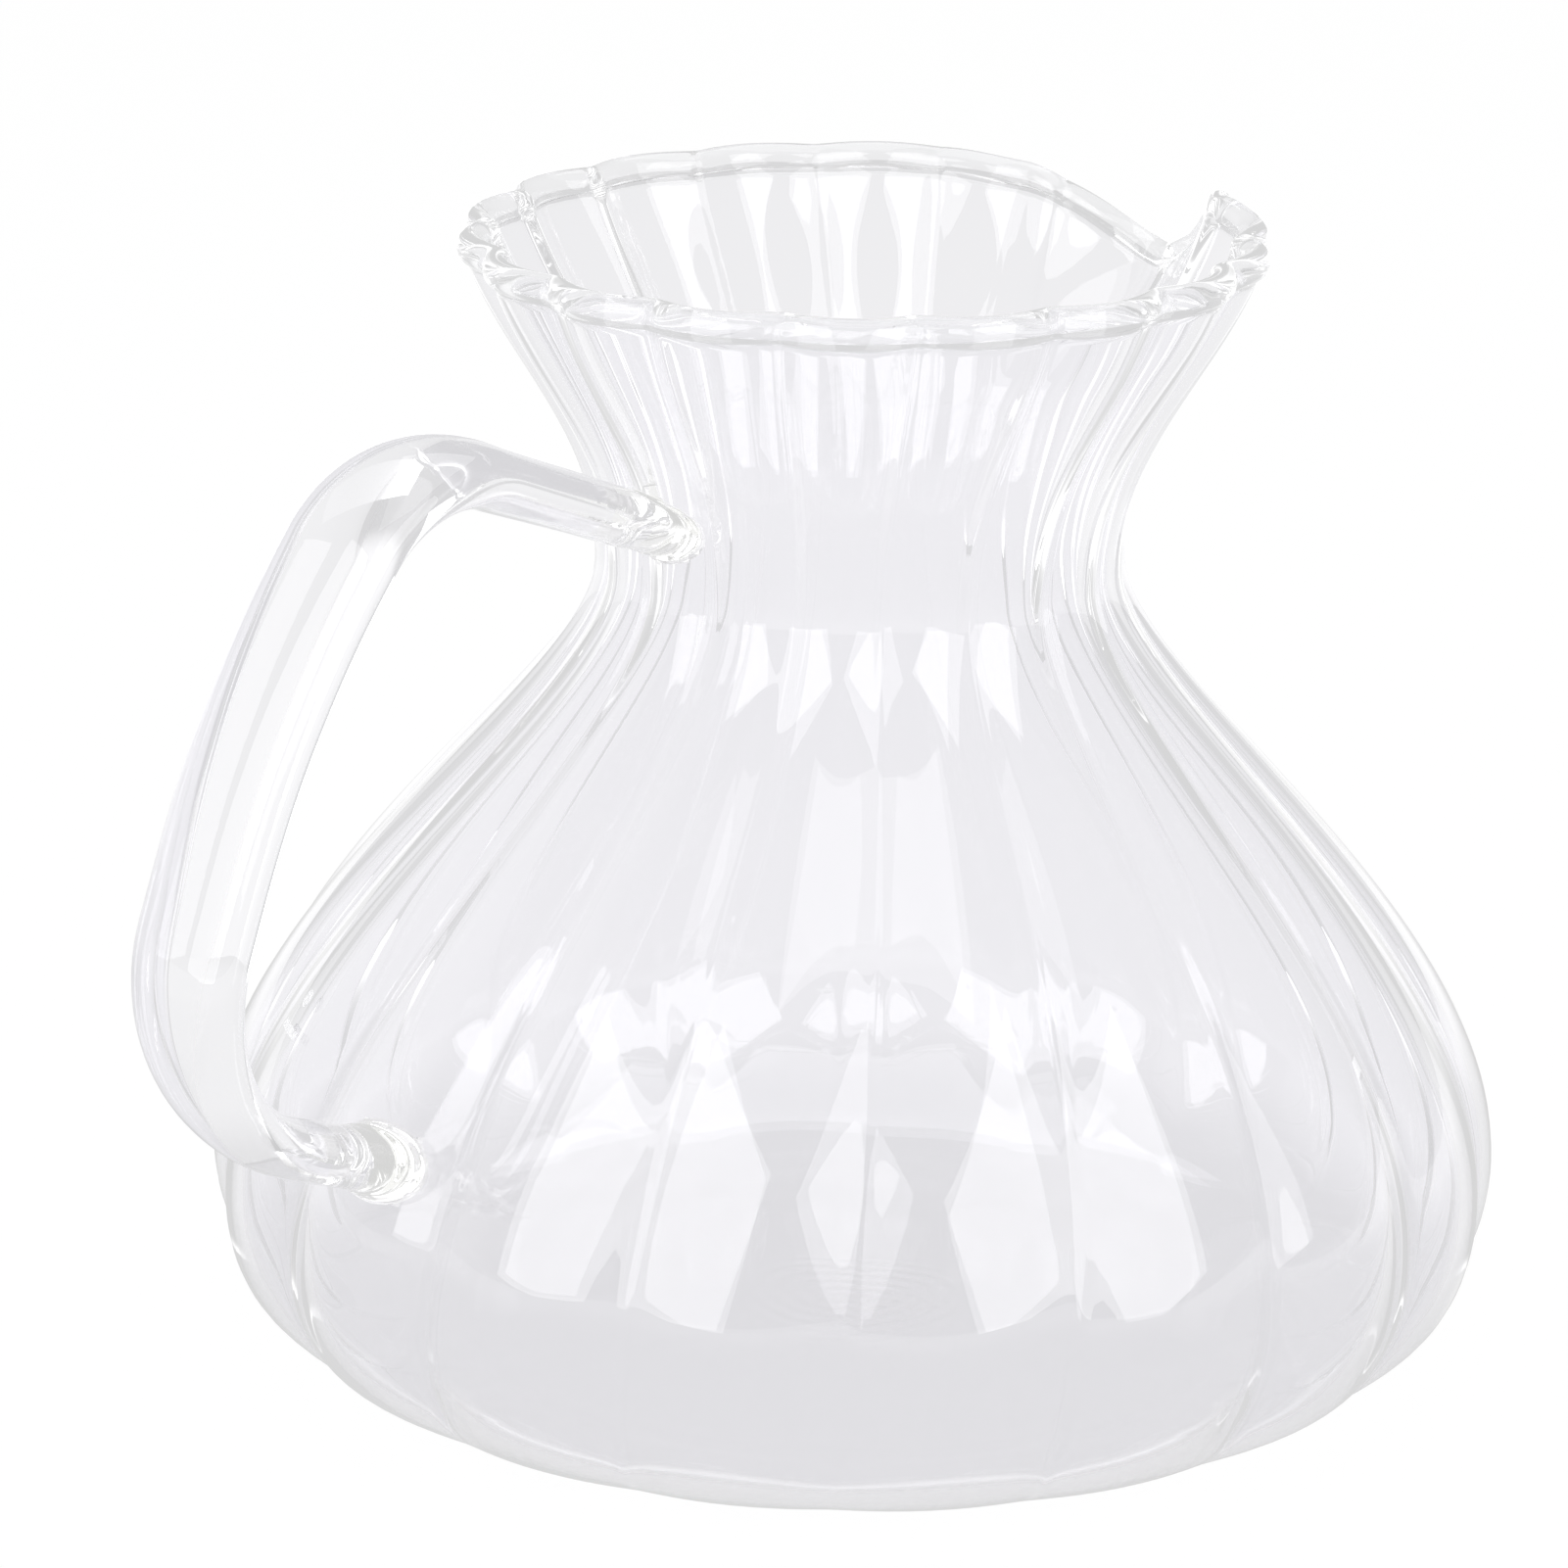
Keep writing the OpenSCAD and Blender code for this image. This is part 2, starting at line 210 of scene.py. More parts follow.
class Wall:
    """The blown wall: its outline, flutes and pulled lip. Heights and radii are in metres, angles in radians."""
    LEAN = math.radians(21)
    # How far the two inner corners of each curve lie along its stretch
    BOWL_SHARES = 0.61, 0.63
    SHOULDER_SHARES = 0.4, 0.21
    FUNNEL_SHARES = 0.42, 0.36
    BOWL_STEPS, SHOULDER_STEPS, FUNNEL_STEPS, BEAD_STEPS = 26, 46, 34, 16
    FLUTE_START = math.radians(5.5)
    FLUTE_STEPS = 16
    # How much closer a lobe's steps lie at its creases
    CREASE_CROWDING = 0.72
    FOOT_FLUTE_SHARE = 0.25
    LIP_CORNER = 0.62
    FLOOR_EDGE = 0.96
    FLOOR_STEPS, SWIRL_STEPS, UNDER_STEPS = 14, 40, 11
    SWIRL_PITCH = 0.0021
    SWIRL_HEART = 0.0015
    FOOT_HOLLOW = 0.0006
    # Waves: strength, count round the wall, rise and start
    WANDERING = (1, 2, 5, 0.7), (0.8, 3, -9, 2.1), (0.7, 5, 14, 4), (0.5, 9, -21, 1.3)

    def __init__(self, sizes):
        s = self.s = sizes
        seat = math.sqrt(s.bead_radius ** 2 - s.wall ** 2 / 4)
        up = np.array([math.sin(self.LEAN), math.cos(self.LEAN)])
        out = np.array([math.cos(self.LEAN), -math.sin(self.LEAN)])
        top = np.array([s.mouth_radius, s.height - s.bead_radius - s.wall / 2 * up[0] - seat * up[1]])
        rise = s.neck_height - s.body_height
        self.funnel_rise = top[1] - s.neck_height
        curves = (
            (((s.foot_radius, 0),
              (mix(s.foot_radius, s.body_radius, self.BOWL_SHARES[0]), 0),
              (s.body_radius, s.body_height * (1 - self.BOWL_SHARES[1])),
              (s.body_radius, s.body_height)), self.BOWL_STEPS),
            (((s.body_radius, s.body_height),
              (s.body_radius, s.body_height + rise * self.SHOULDER_SHARES[0]),
              (s.neck_radius, s.neck_height - rise * self.SHOULDER_SHARES[1]),
              (s.neck_radius, s.neck_height)), self.SHOULDER_STEPS),
            (((s.neck_radius, s.neck_height),
              (s.neck_radius, s.neck_height + self.funnel_rise * self.FUNNEL_SHARES[0]),
              tuple(top - up * self.funnel_rise * self.FUNNEL_SHARES[1]),
              tuple(top)), self.FUNNEL_STEPS),
        )
        points, ways = [], []
        for i, (corners, steps) in enumerate(curves):
            last = i == len(curves) - 1
            at, way = bezier(corners, np.arange(steps + last) / steps)
            points.append(at)
            ways.append(way)
        self.points = np.concatenate(points)
        ways = np.concatenate(ways)
        self.normals = np.stack([ways[:, 1], -ways[:, 0]], 1)
        centre = top - out * s.wall / 2 + up * seat
        gap = math.acos(seat / s.bead_radius)
        share_of_bead = np.linspace(0, 1, self.BEAD_STEPS + 1)[1:-1]
        sweep = share_of_bead * (2 * math.pi - 2 * gap) - math.pi / 2 - self.LEAN + gap
        self.bead = centre + s.bead_radius * np.stack([np.cos(sweep), np.sin(sweep)], 1)
        step = np.arange(self.FLUTE_STEPS) / self.FLUTE_STEPS
        phase = step - self.CREASE_CROWDING * np.sin(2 * math.pi * step) / (2 * math.pi)
        self.turns = 2 * math.pi / s.flutes * (np.arange(s.flutes)[:, None] + phase).ravel()

    def depth(self, h):
        s = self.s
        foot = mix(self.FOOT_FLUTE_SHARE, 1, ease(h / s.fade_height))
        body = mix(s.flute_depth, s.neck_depth, ease((h - s.body_height) / (s.neck_height - s.body_height)))
        return foot * mix(body, s.scallop_depth, ease((h - s.neck_height) / self.funnel_rise))

    def turn(self, h):
        return self.FLUTE_START + self.s.twist * h / self.s.height

    def valley(self, turn):
        """1 in a crease between two lobes and 0 on a lobe's crest, with the crease a little melted."""
        e = self.s.crease
        wave = np.sqrt(np.sin(turn * self.s.flutes / 2) ** 2 + e * e)
        return 1 - (wave - e) / (math.sqrt(1 + e * e) - e)

    def lip(self, angles, h):
        s = self.s
        hold = ease((h - (s.height - s.channel)) / s.channel)
        side = (angles - 2 * math.pi * np.round(angles / (2 * math.pi))) / s.lip_spread
        corner = s.lip_tilt / 2 * np.sign(side) * hump((np.abs(side) - 1) / self.LIP_CORNER)
        return hold * s.lip_reach * hump(side), hold * (-s.lip_drop * hump(side) - corner)

    def ring(self, radius, h, depth, wander=0):
        angles = self.turns + self.turn(h)
        out, up = self.lip(angles, h)
        r = radius - depth * self.valley(self.turns) + out + wander
        return np.stack([r * np.cos(angles), r * np.sin(angles), h + up], 1)

    def wander(self, h):
        """Slow unevenness of the inner skin, the same on every build."""
        a = self.turns + self.turn(h)
        z = h / self.s.height
        wave = sum(part * np.sin(lobes * a + waves * z + start) for part, lobes, waves, start in self.WANDERING)
        return self.s.unevenness * (wave + 0.6 * np.sin(17 * z + 2 * np.sin(a))) / 2

    def skin(self, angles, h):
        """Points of the outer skin at angles round the axis and heights."""
        radius = np.interp(h, self.points[:, 1], self.points[:, 0])
        r = radius - self.depth(h) * self.valley(angles - self.turn(h))
        return np.stack([r * np.cos(angles), r * np.sin(angles), h + 0 * angles], -1)

    def rings(self):
        """Rings of the closed wall, from the foot over the rim and down to the floor."""
        s = self.s
        outer = [self.ring(p[0], p[1], self.depth(p[1])) for p in self.points]
        bead = [self.ring(p[0], p[1], self.depth(s.height)) for p in self.bead]
        inner = []
        for p, n in zip(self.points[::-1], self.normals[::-1]):
            q = p - s.wall * n
            fade = ease(p[1] / s.fade_height) * ease((self.points[-1, 1] - p[1]) / (4 * s.wall))
            depth = self.depth(p[1]) + s.rib * ease(p[1] / s.fade_height)
            inner.append(self.ring(q[0], q[1], depth, fade * self.wander(p[1])))
        floor = []
        radii = np.concatenate([np.linspace(s.foot_radius * self.FLOOR_EDGE, s.swirl_radius, self.FLOOR_STEPS),
                                np.linspace(s.swirl_radius, 0, self.SWIRL_STEPS + 1)[1:-1]])
        for r in radii:
            k = r / s.foot_radius
            swell = 1 - r / s.swirl_radius if r < s.swirl_radius else 0
            wound = r * (1 + 0.1 * np.sin(2 * self.turns + 0.5) + 0.06 * np.sin(3 * self.turns))
            uneven = 0.6 + 0.4 * np.sin(self.turns + 2.2)
            winding = np.sin(2 * math.pi * wound / self.SWIRL_PITCH + self.turns)
            ripple = winding * s.swirl_depth * ease(3 * swell) * uneven
            points = self.ring(r, mix(s.floor, s.wall, k * k), 0)
            points[:, 2] += ripple * ease(r / self.SWIRL_HEART)
            floor.append(points)
        under = []
        for k in np.linspace(0, 1, self.UNDER_STEPS + 1)[1:-1]:
            ring = self.ring(s.foot_radius * k, 0, self.depth(0) * k)
            ring[:, 2] = self.FOOT_HOLLOW * (1 - k * k)
            under.append(ring)
        return under, outer, bead, inner, floor


def bend(a, b, c, r, steps):
    """Arc that rounds the corner b between a and c."""
    u, v = unit(a - b), unit(c - b)
    half = math.acos(float(u @ v)) / 2
    centre = b + unit(u + v) * r / math.sin(half)
    start = unit(b + u * r / math.tan(half) - centre)
    end = unit(b + v * r / math.tan(half) - centre)
    sweep = math.acos(float(start @ end))
    t = np.linspace(0, 1, steps + 1)[:, None]
    return centre + r * (np.sin(sweep * (1 - t)) * start + np.sin(sweep * t) * end) / math.sin(sweep)


def superellipse(sides, wide, tall, squareness):
    """Corners of a round whose half sizes are wide and tall, which grows squarer above 2."""
    a = 2 * math.pi * np.arange(sides) / sides
    c, s = np.cos(a), np.sin(a)
    power = 2 / squareness
    return np.stack([wide * np.sign(c) * np.abs(c) ** power, tall * np.sign(s) * np.abs(s) ** power], 1)


class Rod:
    """The drawn rod: its middle line in the handle's plane, as [distance from the axis, height], and its sections."""
    SIDES = 48
    SQUARENESS = 2.0
    STEP = 0.0008
    BOW_PLACE = 0.41
    BOW_RADIUS_SHARE = 1.55
    BEND_STEPS, BOW_STEPS, GATHER_STEPS = 26, 30, 24
    CALM_LENGTH = 0.006
    LAP = 0.0004
    FOOT_SINK = 0.0001
    SEAT_SINK = 0.00035
    SEAT_SHARES = 0.94, 0.6, 0.3
    FOLDS = 3.2
    # Waves: strength, count round the rod, rise and start
    DRAWING = (1, 3, 150, 0), (0.7, 5, -90, 1)

    def __init__(self, wall, sizes):
        h, v = sizes, wall.s
        self.h = h
        self.wall = wall
        top_h = v.neck_height + wall.funnel_rise * h.upper_share
        self.upper_seat, self.lower_seat = (np.array([-wall.skin(np.array([math.pi]), z)[0, 0], z])
                                            for z in (top_h, h.lower_height))
        top = np.array([v.neck_radius + h.arm_reach, top_h + h.arm_lift])
        low = np.array([v.body_radius + h.heel_reach, h.lower_height + h.heel_lift])
        grip = low - top
        bow = top + grip * self.BOW_PLACE + unit(np.array([-grip[1], grip[0]])) * h.bow
        self.upper_way, self.lower_way = unit(top - self.upper_seat), unit(low - self.lower_seat)
        start = self.upper_seat + self.upper_way * h.weld_length
        end = self.lower_seat + self.lower_way * h.weld_length
        bends = (bend(start, top, bow, h.top_bend, self.BEND_STEPS),
                 bend(top, bow, low, np.linalg.norm(grip) * self.BOW_RADIUS_SHARE, self.BOW_STEPS),
                 bend(bow, low, end, h.low_bend, self.BEND_STEPS))
        path = [start]
        for piece in (*bends, end[None]):
            first = piece[0]
            steps = max(1, int(np.linalg.norm(first - path[-1]) / self.STEP))
            path += [mix(path[-1], first, k / steps) for k in range(1, steps + 1)]
            path += list(piece[1:])
        self.path = np.array(path)
        self.arm = np.linalg.norm(bends[0][0] - start) + h.top_bend

    def offsets(self, width, thickness):
        """Corners of a rounded section: across the rod and through it."""
        return superellipse(self.SIDES, width / 2, thickness / 2, self.SQUARENESS)

    def section(self, at, way, offsets):
        p = at + np.array([-way[1], way[0]]) * offsets[:, 1:]
        return np.stack([-p[:, 0], offsets[:, 0], p[:, 1]], 1)

    def rings(self):
        p, h = self.path, self.h
        steps = np.linalg.norm(np.diff(p, axis=0), axis=1)
        run = np.concatenate([[0], np.cumsum(steps)])
        total = run[-1]
        rings = []
        around = 2 * math.pi * np.arange(self.SIDES) / self.SIDES
        for i, at in enumerate(p):
            way = unit(p[min(i + 1, len(p) - 1)] - p[max(i - 1, 0)])
            near = min(run[i], total - run[i])
            full = ease(near / self.arm)
            o = self.offsets(mix(h.arm_width, h.grip_width, full), mix(h.thickness, h.grip_thickness, full))
            calm = ease(near / self.CALM_LENGTH)
            ripple = sum(part * np.sin(lobes * around + waves * run[i] + start)
                         for part, lobes, waves, start in self.DRAWING)
            ripple = ripple + 0.8 * np.sin(520 * run[i] + np.sin(around))
            o = o * (1 - calm * h.draw_ripple / h.thickness * (1.4 + ripple * 0.6))[:, None]
            rings.append(self.section(at, way, o))
        return rings

    def seat(self, seat, offsets, sink=0.0):
        """Points of the wall under a gather, sunk below the skin."""
        angles = math.pi - offsets[:, 0] / seat[0]
        points = self.wall.skin(angles, seat[1] + offsets[:, 1])
        inward = points * np.array([1, 1, 0])
        inward /= np.linalg.norm(inward, axis=1, keepdims=True)
        return points - inward * sink

    def foot(self):
        """How much wider a gather's foot is than the rod, across and through it."""
        h = self.h
        return np.array([(size + 2 * h.weld_spread) / size for size in (h.arm_width, h.thickness)])

    def gather(self, seat, way):
        """Rings of a fused gather's own skin and of its seat in the wall."""
        h = self.h
        end = seat + way * h.weld_length
        first = self.offsets(h.arm_width, h.thickness)
        wide = first * self.foot()
        ring = self.section(end, way, first)
        middle, foot = self.seat(seat, first), self.seat(seat, wide, self.FOOT_SINK)
        core = self.section(end, way, first * 0)
        around = 2 * math.pi * np.arange(self.SIDES) / self.SIDES
        body = []
        for t in np.linspace(0, 1, self.GATHER_STEPS + 1):
            points = (1 - t) ** 2 * ring + 2 * t * (1 - t) * middle + t * t * foot
            heart = mix(core, self.seat(seat, first * 0), t)
            lean = 0.18 * np.sin(2 * around + 0.6)
            fold = h.wrinkle * hump(2 * t - 1.1) * np.sin(2 * math.pi * (self.FOLDS * t + lean))
            away = points - heart
            away /= np.linalg.norm(away, axis=1, keepdims=True)
            body.append(points + away * fold[:, None])
        sunk = [self.seat(seat, wide * k, self.SEAT_SINK) for k in self.SEAT_SHARES]
        end = end + way * self.LAP
        heart = self.seat(seat, wide[:1] * 0, self.SEAT_SINK)[0]
        return body, sunk, np.array([-end[0], 0, end[1]]), heart


# Meshes

def loft(name, rings, first, last, hidden=(), calm=()):
    """A closed mesh through equal rings. Bands and ends named in hidden take the second material, and the edges along
    the rings in calm are sharp."""
    n = len(rings[0])
    m = len(rings)
    points = np.concatenate([[first], *rings, [last]])
    k = np.arange(n)
    j = (k + 1) % n
    faces = [np.stack([0 * k, 1 + j, 1 + k], 1).tolist()]
    hide = ["first" in hidden] * n
    for i in range(m - 1):
        a, b = 1 + i * n + k, 1 + i * n + j
        faces.append(np.stack([a, b, b + n, a + n], 1).tolist())
        hide += [i in hidden] * n
    end = m * n + 1
    faces.append(np.stack([0 * k + end, end - n + k, end - n + j], 1).tolist())
    hide += ["last" in hidden] * n
    mesh = bpy.data.meshes.new(name)
    faces = [f for band in faces for f in band]
    corners = np.array([(f[0], f[i], f[i + 1]) for f in faces for i in range(1, len(f) - 1)])
    a, b, c = (points[corners[:, i]] for i in range(3))
    if np.sum(a * np.cross(b, c)) < 0:
        faces = [f[::-1] for f in faces]
    mesh.from_pydata(points.tolist(), [], faces)
    mesh.polygons.foreach_set("use_smooth", [True] * len(mesh.polygons))
    mesh.polygons.foreach_set("material_index", [int(x) for x in hide])
    if calm:
        ring_of = np.full(len(points), -1)
        for i in range(m):
            ring_of[1 + i * n:1 + (i + 1) * n] = i
        pairs = np.empty(2 * len(mesh.edges), dtype=np.int32)
        mesh.edges.foreach_get("vertices", pairs)
        pairs = pairs.reshape(-1, 2)
        a, b = ring_of[pairs[:, 0]], ring_of[pairs[:, 1]]
        sharp = (a == b) & np.isin(a, list(calm))
        mesh.attributes.new("sharp_edge", "BOOLEAN", "EDGE").data.foreach_set("value", sharp)
    mesh.validate()
    mesh.update()
    return mesh


def place(name, mesh, materials, nodes=()):
    """Puts a piece on the carafe's body, in the stead of the CAD nodes that it stands for."""
    old = bpy.data.objects.get(name)
    if old:
        bpy.data.objects.remove(old)
    piece = bpy.data.objects.new(name, mesh)
    bpy.context.scene.collection.objects.link(piece)
    for material in materials:
        mesh.materials.append(material)
    bpy.context.view_layer.update()
    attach(piece, "root")
    if nodes:
        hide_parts(*nodes)
    return piece


# Node groups that the materials share

WHITE = (1, 1, 1, 1)


def group(name, inputs, outputs):
    """A new shader node group with named sockets: its tree, its input node and its output node."""
    tree = bpy.data.node_groups.new(name, "ShaderNodeTree")
    for label, kind, value in inputs:
        socket = tree.interface.new_socket(label, in_out="INPUT", socket_type=kind)
        socket.default_value = value
    for label, kind in outputs:
        tree.interface.new_socket(label, in_out="OUTPUT", socket_type=kind)
    return tree, tree.nodes.new("NodeGroupInput"), tree.nodes.new("NodeGroupOutput")


def maths(tree, operation, *values):
    """A math node whose inputs are numbers or sockets; gives its output."""
    node = tree.nodes.new("ShaderNodeMath")
    node.operation = operation
    for i, value in enumerate(values):
        if isinstance(value, (int, float)):
            node.inputs[i].default_value = value
        else:
            tree.links.new(value, node.inputs[i])
    return node.outputs[0]


def ranged(tree, value, start, end, low, high):
    """A smooth step from low to high while the value goes from start to end."""
    node = tree.nodes.new("ShaderNodeMapRange")
    node.interpolation_type = "SMOOTHSTEP"
    tree.links.new(value, node.inputs["Value"])
    for label, number in (("From Min", start), ("From Max", end), ("To Min", low), ("To Max", high)):
        node.inputs[label].default_value = number
    return node.outputs["Result"]


def blown_ripple():
    """Height of the long cords and the soft waves that blowing leaves in glass."""
    name = "Blown ripple"
    if name in bpy.data.node_groups:
        return bpy.data.node_groups[name]
    tree, source, sink = group(name, [("Cord scale", "NodeSocketFloat", 300), ("Wave scale", "NodeSocketFloat", 45),
                                      ("Cord share", "NodeSocketFloat", 0.4), ("Stretch", "NodeSocketFloat", 0.08)],
                               [("Height", "NodeSocketFloat")])
    place_of = tree.nodes.new("ShaderNodeTexCoord").outputs["Object"]
    apart = tree.nodes.new("ShaderNodeSeparateXYZ")
    tree.links.new(place_of, apart.inputs[0])
    together = tree.nodes.new("ShaderNodeCombineXYZ")
    for i in range(2):
        tree.links.new(apart.outputs[i], together.inputs[i])
    tree.links.new(maths(tree, "MULTIPLY", apart.outputs[2], source.outputs["Stretch"]), together.inputs[2])
    cords = tree.nodes.new("ShaderNodeTexNoise")
    cords.inputs["Detail"].default_value = 2
    cords.inputs["Roughness"].default_value = 0.45
    tree.links.new(together.outputs[0], cords.inputs["Vector"])
    tree.links.new(source.outputs["Cord scale"], cords.inputs["Scale"])
    waves = tree.nodes.new("ShaderNodeTexNoise")
    waves.inputs["Detail"].default_value = 1
    tree.links.new(place_of, waves.inputs["Vector"])
    tree.links.new(source.outputs["Wave scale"], waves.inputs["Scale"])
    cord = maths(tree, "MULTIPLY", cords.outputs["Fac"], source.outputs["Cord share"])
    wave = maths(tree, "MULTIPLY", waves.outputs["Fac"], maths(tree, "SUBTRACT", 1.0, source.outputs["Cord share"]))
    tree.links.new(maths(tree, "ADD", cord, wave), sink.inputs["Height"])
    return tree


def foot_scuff():
    """Roughness of the fine scuffs that a glass foot takes, fading out above it, over the smoothness of the rest."""
    name = "Foot scuff"
    if name in bpy.data.node_groups:
        return bpy.data.node_groups[name]
    tree, source, sink = group(name, [("Smooth", "NodeSocketFloat", 0.0), ("Scuffed", "NodeSocketFloat", 0.1),
                                      ("Reach", "NodeSocketFloat", 0.0015)], [("Roughness", "NodeSocketFloat")])
    place_of = tree.nodes.new("ShaderNodeTexCoord").outputs["Object"]
    apart = tree.nodes.new("ShaderNodeSeparateXYZ")
    tree.links.new(place_of, apart.inputs[0])
    grain = tree.nodes.new("ShaderNodeTexNoise")
    grain.inputs["Scale"].default_value = 900
    grain.inputs["Detail"].default_value = 3
    tree.links.new(place_of, grain.inputs["Vector"])
    near = maths(tree, "SUBTRACT", 1.0, maths(tree, "DIVIDE", apart.outputs[2], source.outputs["Reach"]))
    near.node.use_clamp = True
    mask = maths(tree, "MULTIPLY", near, grain.outputs["Fac"])
    span = maths(tree, "SUBTRACT", source.outputs["Scuffed"], source.outputs["Smooth"])
    tree.links.new(maths(tree, "MULTIPLY_ADD", mask, span, source.outputs["Smooth"]), sink.inputs["Roughness"])
    return tree


def gathered_tint():
    """Colour of the glass, from clear to the tint of its gathered places, a little uneven."""
    name = "Gathered tint"
    if name in bpy.data.node_groups:
        return bpy.data.node_groups[name]
    tree, source, sink = group(name, [("Clear", "NodeSocketColor", WHITE), ("Gathered", "NodeSocketColor", WHITE),
                                      ("Share", "NodeSocketFloat", 0.0), ("Patch scale", "NodeSocketFloat", 90)],
                               [("Color", "NodeSocketColor")])
    patches = tree.nodes.new("ShaderNodeTexNoise")
    tree.links.new(tree.nodes.new("ShaderNodeTexCoord").outputs["Object"], patches.inputs["Vector"])
    tree.links.new(source.outputs["Patch scale"], patches.inputs["Scale"])
    thick = tree.nodes.new("ShaderNodeAttribute")
    thick.attribute_name = "gathered"
    uneven = maths(tree, "MULTIPLY_ADD", patches.outputs["Fac"], 1.2, 0.2)
    share_of = maths(tree, "MULTIPLY", maths(tree, "MAXIMUM", thick.outputs["Fac"], source.outputs["Share"]), uneven)
    share_of.node.use_clamp = True
    blend = tree.nodes.new("ShaderNodeMix")
    blend.data_type = "RGBA"
    sockets = [socket for socket in blend.inputs if socket.type == "RGBA"]
    tree.links.new(share_of, blend.inputs["Factor"])
    tree.links.new(source.outputs["Clear"], sockets[0])
    tree.links.new(source.outputs["Gathered"], sockets[1])
    tree.links.new(next(socket for socket in blend.outputs if socket.type == "RGBA"), sink.inputs["Color"])
    return tree


# Materials

def new_material(name):
    old = bpy.data.materials.get(name)
    if old:
        bpy.data.materials.remove(old)
    material = bpy.data.materials.new(name)
    material.use_nodes = True
    tree = material.node_tree
    tree.nodes.clear()
    return material, tree, tree.nodes.new("ShaderNodeOutputMaterial")


def use(tree, made, **values):
    node = tree.nodes.new("ShaderNodeGroup")
    node.node_tree = made
    for label, value in values.items():
        node.inputs[label.replace("_", " ")].default_value = value
    return node


GLASS_IOR = 1.474
DEEPEST_RAY = 4.5


def glass(name, gathered, share_of, bump, **ripple):
    """Clear glass with its ripple, its scuffed foot and the tint of its gathered places. Rays pass it when they carry
    shadow, or have been through so much glass already that they would be lost."""
    f = bpy.context.scene.carafe_finish
    material, tree, out = new_material(name)
    shader = tree.nodes.new("ShaderNodeBsdfPrincipled")
    tint = use(tree, gathered_tint(), Clear=(*f.glass_tint, 1), Gathered=(*gathered, 1), Share=share_of)
    tree.links.new(tint.outputs["Color"], shader.inputs["Base Color"])
    shader.inputs["Metallic"].default_value = 0
    shader.inputs["IOR"].default_value = GLASS_IOR
    shader.inputs["Transmission Weight"].default_value = 1
    height = tree.nodes.new("ShaderNodeBump")
    height.inputs["Strength"].default_value = 1
    height.inputs["Distance"].default_value = bump
    tree.links.new(use(tree, blown_ripple(), **ripple).outputs["Height"], height.inputs["Height"])
    tree.links.new(height.outputs[0], shader.inputs["Normal"])
    tree.links.new(use(tree, foot_scuff()).outputs["Roughness"], shader.inputs["Roughness"])
    path = tree.nodes.new("ShaderNodeLightPath")
    shaded = passing(tree, path.outputs["Is Shadow Ray"], shader.outputs[0], f.shadow_tint)
    deep = maths(tree, "GREATER_THAN", path.outputs["Ray Depth"], DEEPEST_RAY)
    tree.links.new(passing(tree, deep, shaded, (1, 1, 1)), out.inputs["Surface"])
    return material


def passing(tree, when, shader, tint):
    """The shader, but clear with a tint for the rays that a mask names."""
    clear = tree.nodes.new("ShaderNodeBsdfTransparent")
    clear.inputs["Color"].default_value = (*tint, 1)
    either = tree.nodes.new("ShaderNodeMixShader")
    tree.links.new(when, either.inputs[0])
    tree.links.new(shader, either.inputs[1])
    tree.links.new(clear.outputs[0], either.inputs[2])
    return either.outputs[0]


def blown_glass():
    finish = bpy.context.scene.carafe_finish
    return glass("blown_glass", finish.thick_tint, share_of=0.0, bump=0.00002,
                 Cord_scale=160, Wave_scale=45, Cord_share=0.2)


def rod_glass():
    finish = bpy.context.scene.carafe_finish
    return glass("rod_glass", finish.thick_tint, share_of=0.4, bump=0.00002,
                 Cord_scale=420, Wave_scale=120, Cord_share=0.3, Stretch=0.3)


def weld_glass():
    finish = bpy.context.scene.carafe_finish
    return glass("weld_glass", finish.weld_tint, share_of=1.0, bump=0.00005,
                 Cord_scale=500, Wave_scale=260, Cord_share=0.5, Stretch=0.6)


def fused_joint():
    """Where two pieces are melted together there is no surface to see."""
    made = bpy.data.materials.get("fused_joint")
    if made:
        return made
    material, tree, out = new_material("fused_joint")
    tree.links.new(tree.nodes.new("ShaderNodeBsdfTransparent").outputs[0], out.inputs["Surface"])
    return material


def fired_enamel():
    """Pale fired enamel, a little worn, for the level mark."""
    f = bpy.context.scene.carafe_finish
    material, tree, out = new_material("fired_enamel")
    shader = tree.nodes.new("ShaderNodeBsdfPrincipled")
    shader.inputs["Base Color"].default_value = (*f.mark_colour, 1)
    shader.inputs["Roughness"].default_value = 0.35
    height = tree.nodes.new("ShaderNodeBump")
    height.inputs["Distance"].default_value = 0.00003
    grain = use(tree, blown_ripple(), Cord_scale=3000, Wave_scale=1500)
    tree.links.new(grain.outputs["Height"], height.inputs["Height"])
    tree.links.new(height.outputs[0], shader.inputs["Normal"])
    wear = tree.nodes.new("ShaderNodeTexNoise")
    wear.inputs["Scale"].default_value = 2600
    ramp = tree.nodes.new("ShaderNodeMapRange")
    for label, number in (("From Min", 0.35), ("From Max", 0.6), ("To Min", 0.35), ("To Max", 0.8)):
        ramp.inputs[label].default_value = number
    tree.links.new(tree.nodes.new("ShaderNodeTexCoord").outputs["Object"], wear.inputs["Vector"])
    tree.links.new(wear.outputs["Fac"], ramp.inputs["Value"])
    tree.links.new(ramp.outputs["Result"], shader.inputs["Alpha"])
    tree.links.new(shader.outputs[0], out.inputs["Surface"])
    return material


# Operators

